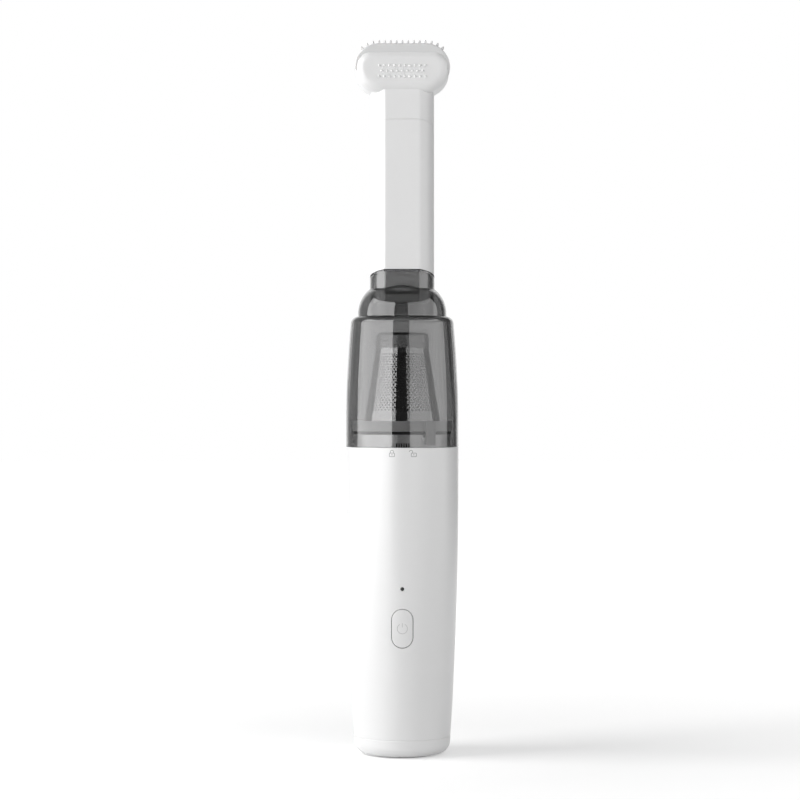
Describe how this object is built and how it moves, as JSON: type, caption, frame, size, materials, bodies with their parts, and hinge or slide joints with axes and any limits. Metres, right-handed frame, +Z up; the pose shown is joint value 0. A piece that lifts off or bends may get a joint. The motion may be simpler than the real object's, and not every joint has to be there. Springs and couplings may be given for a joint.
{
  "type": "handheld vacuum cleaner",
  "caption": "Slim upright hand vacuum: round tapered handle with button, smoky dust cup over a perforated cone filter, flat-sided extension tube and a soft-nubbed brush head.",
  "frame": {"origin": "centre of the foot ring's face that the vacuum stands on", "axes": "+Z up from the base to the brush head, -Y out of the front with the power button, +X to the right seen from the front"},
  "size_m": [0.0598, 0.0598, 0.3778],
  "materials": {
    "white_shell": "satin white moulded plastic",
    "white_tube": "satin white moulded plastic",
    "white_head": "satin white moulded plastic",
    "button_white": "satin white moulded plastic",
    "neck_plastic": "satin pale grey plastic",
    "smoke_clear": "polished smoky clear plastic",
    "smoke_cap": "polished smoky clear plastic",
    "filter_clear": "frosted clear plastic",
    "filter_steel": "polished perforated steel",
    "filter_paper": "pleated filter paper",
    "seal_rubber": "matt black rubber",
    "foot_rubber": "matt pale rubber",
    "mount_rubber": "matt black rubber",
    "pad_silicone": "soft matt silicone",
    "frame_plastic": "black moulded plastic",
    "impeller_plastic": "grey moulded plastic",
    "switch_body": "black moulded plastic",
    "light_pipe": "dark clear plastic",
    "cell_sleeve": "shrink sleeve",
    "nickel_strip": "rolled nickel",
    "circuit_board": "coated board",
    "board_parts": "moulded parts",
    "socket_steel": "drawn steel",
    "screw_steel": "plated steel",
    "motor_steel": "drawn steel",
    "lead_sleeve": "insulated wire",
    "exhaust_foam": "open foam"
  },
  "bodies": {
    "handle": {"foot_ring": "foot_rubber", "base_cap": "white_shell", "base_screws": "screw_steel", "body_shell": "white_shell", "inner_frame": "frame_plastic", "battery_cell_left": "cell_sleeve", "battery_cell_right": "cell_sleeve", "cell_tabs": "nickel_strip", "circuit_board": "circuit_board", "board_components": "board_parts", "power_switch": "switch_body", "button_guide": "frame_plastic", "light_pipe": "light_pipe", "charge_board": "circuit_board", "charge_socket": "socket_steel", "motor_leads": "lead_sleeve", "motor_mount": "mount_rubber", "motor_can": "motor_steel", "fan_housing": "frame_plastic", "fan_cover": "frame_plastic", "exhaust_foam": "exhaust_foam", "neck_ring": "neck_plastic"},
    "button": {"power_button": "button_white", "switch_plunger": "switch_body"},
    "fan": {"motor_shaft": "screw_steel", "impeller": "impeller_plastic"},
    "filter": {"filter_seal": "seal_rubber", "filter_frame": "filter_clear", "filter_mesh": "filter_steel", "filter_core": "filter_paper", "filter_cap": "smoke_cap"},
    "cup": {"dust_cup": "smoke_clear"},
    "tube": {"extension_tube": "white_tube", "tube_seal": "seal_rubber"},
    "head": {"brush_housing": "white_head", "head_seal": "seal_rubber", "brush_pad": "pad_silicone", "nub_strip_front": "pad_silicone", "nub_strip_back": "pad_silicone", "front_nubs": "white_head"}
  },
  "joints": [
    {"name": "button_press", "type": "slide", "parent": "handle", "child": "button", "axis": [0, 1, 0], "range_m": [0, 0.0008], "stiffness_N_per_m": 900},
    {"name": "fan_spin", "type": "hinge", "parent": "handle", "child": "fan", "pos_m": [0, 0, 0.14], "axis": [0, 0, 1], "continuous": true},
    {"name": "cup_twist", "type": "hinge", "parent": "handle", "child": "filter", "pos_m": [0, 0, 0.17], "axis": [0, 0, 1], "range_deg": [0, 21]},
    {"name": "cup_lift", "type": "slide", "parent": "filter", "child": "cup", "axis": [0, 0, 1], "range_m": [0, 0.066]},
    {"name": "tube_pull", "type": "slide", "parent": "cup", "child": "tube", "axis": [0, 0, 1], "range_m": [0, 0.018]},
    {"name": "head_pull", "type": "slide", "parent": "tube", "child": "head", "axis": [0, 0, 1], "range_m": [0, 0.02]}
  ]
}
